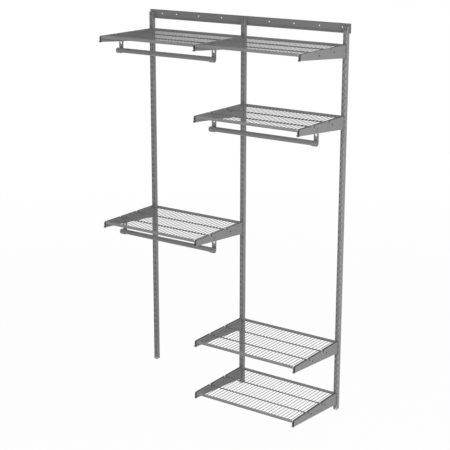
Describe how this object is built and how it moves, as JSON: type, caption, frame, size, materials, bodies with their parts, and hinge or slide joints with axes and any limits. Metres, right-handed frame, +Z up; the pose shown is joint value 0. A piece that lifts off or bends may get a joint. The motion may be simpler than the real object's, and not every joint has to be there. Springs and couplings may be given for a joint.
{
  "type": "wall-hung closet system",
  "caption": "Wall-hung closet system in grey painted steel: slotted uprights on wall rails carry tapered brackets, lift-off wire shelves and clothes rails in hooks.",
  "frame": {"origin": "on the wall, midway between the two wall rails, at the height of their screw holes", "axes": "+X along the wall to the right as seen from the room, +Y into the wall, +Z up"},
  "size_m": [1.24, 0.445, 2.022],
  "materials": {
    "wall_rails": "smooth satin grey powder coat",
    "uprights": "smooth satin grey powder coat",
    "brackets": "smooth satin grey powder coat",
    "holders": "smooth satin grey powder coat",
    "clothes_rails": "smooth satin grey powder coat",
    "shelf_wires": "smooth satin grey powder coat",
    "shelf_bars": "smooth satin grey powder coat"
  },
  "bodies": {
    "frame": {"bracket_left_lower": "brackets", "bracket_left_top": "brackets", "bracket_middle_bottom": "brackets", "bracket_middle_lower": "brackets", "bracket_middle_second": "brackets", "bracket_middle_third": "brackets", "bracket_middle_top": "brackets", "bracket_right_bottom": "brackets", "bracket_right_second": "brackets", "bracket_right_third": "brackets", "bracket_right_top": "brackets", "holder_left_lower_left_end": "holders", "holder_left_lower_right_end": "holders", "holder_left_top_left_end": "holders", "holder_left_top_right_end": "holders", "holder_right_second_left_end": "holders", "holder_right_second_right_end": "holders", "upright_left": "uprights", "upright_middle": "uprights", "upright_right": "uprights", "wall_rail_left": "wall_rails", "wall_rail_right": "wall_rails"},
    "clothes_rail_left_lower": {"clothes_rail_left_lower": "clothes_rails"},
    "clothes_rail_left_top": {"clothes_rail_left_top": "clothes_rails"},
    "clothes_rail_right_second": {"clothes_rail_right_second": "clothes_rails"},
    "shelf_left_lower": {"shelf_left_lower_cross_rods": "shelf_wires", "shelf_left_lower_front_bar": "shelf_bars", "shelf_left_lower_rear_bar": "shelf_bars", "shelf_left_lower_wires": "shelf_wires"},
    "shelf_left_top": {"shelf_left_top_cross_rods": "shelf_wires", "shelf_left_top_front_bar": "shelf_bars", "shelf_left_top_rear_bar": "shelf_bars", "shelf_left_top_wires": "shelf_wires"},
    "shelf_right_bottom": {"shelf_right_bottom_cross_rods": "shelf_wires", "shelf_right_bottom_front_bar": "shelf_bars", "shelf_right_bottom_rear_bar": "shelf_bars", "shelf_right_bottom_wires": "shelf_wires"},
    "shelf_right_second": {"shelf_right_second_cross_rods": "shelf_wires", "shelf_right_second_front_bar": "shelf_bars", "shelf_right_second_rear_bar": "shelf_bars", "shelf_right_second_wires": "shelf_wires"},
    "shelf_right_third": {"shelf_right_third_cross_rods": "shelf_wires", "shelf_right_third_front_bar": "shelf_bars", "shelf_right_third_rear_bar": "shelf_bars", "shelf_right_third_wires": "shelf_wires"},
    "shelf_right_top": {"shelf_right_top_cross_rods": "shelf_wires", "shelf_right_top_front_bar": "shelf_bars", "shelf_right_top_rear_bar": "shelf_bars", "shelf_right_top_wires": "shelf_wires"}
  },
  "joints": [
    {"name": "clothes_rail_left_lower_lift", "type": "slide", "parent": "frame", "child": "clothes_rail_left_lower", "axis": [0, 0, 1], "range_m": [0, 0.02]},
    {"name": "clothes_rail_left_top_lift", "type": "slide", "parent": "frame", "child": "clothes_rail_left_top", "axis": [0, 0, 1], "range_m": [0, 0.02]},
    {"name": "clothes_rail_right_second_lift", "type": "slide", "parent": "frame", "child": "clothes_rail_right_second", "axis": [0, 0, 1], "range_m": [0, 0.02]},
    {"name": "shelf_left_lower_lift", "type": "slide", "parent": "frame", "child": "shelf_left_lower", "axis": [0, 0, 1], "range_m": [0, 0.04]},
    {"name": "shelf_left_top_lift", "type": "slide", "parent": "frame", "child": "shelf_left_top", "axis": [0, 0, 1], "range_m": [0, 0.04]},
    {"name": "shelf_right_bottom_lift", "type": "slide", "parent": "frame", "child": "shelf_right_bottom", "axis": [0, 0, 1], "range_m": [0, 0.04]},
    {"name": "shelf_right_second_lift", "type": "slide", "parent": "frame", "child": "shelf_right_second", "axis": [0, 0, 1], "range_m": [0, 0.04]},
    {"name": "shelf_right_third_lift", "type": "slide", "parent": "frame", "child": "shelf_right_third", "axis": [0, 0, 1], "range_m": [0, 0.04]},
    {"name": "shelf_right_top_lift", "type": "slide", "parent": "frame", "child": "shelf_right_top", "axis": [0, 0, 1], "range_m": [0, 0.04]}
  ]
}
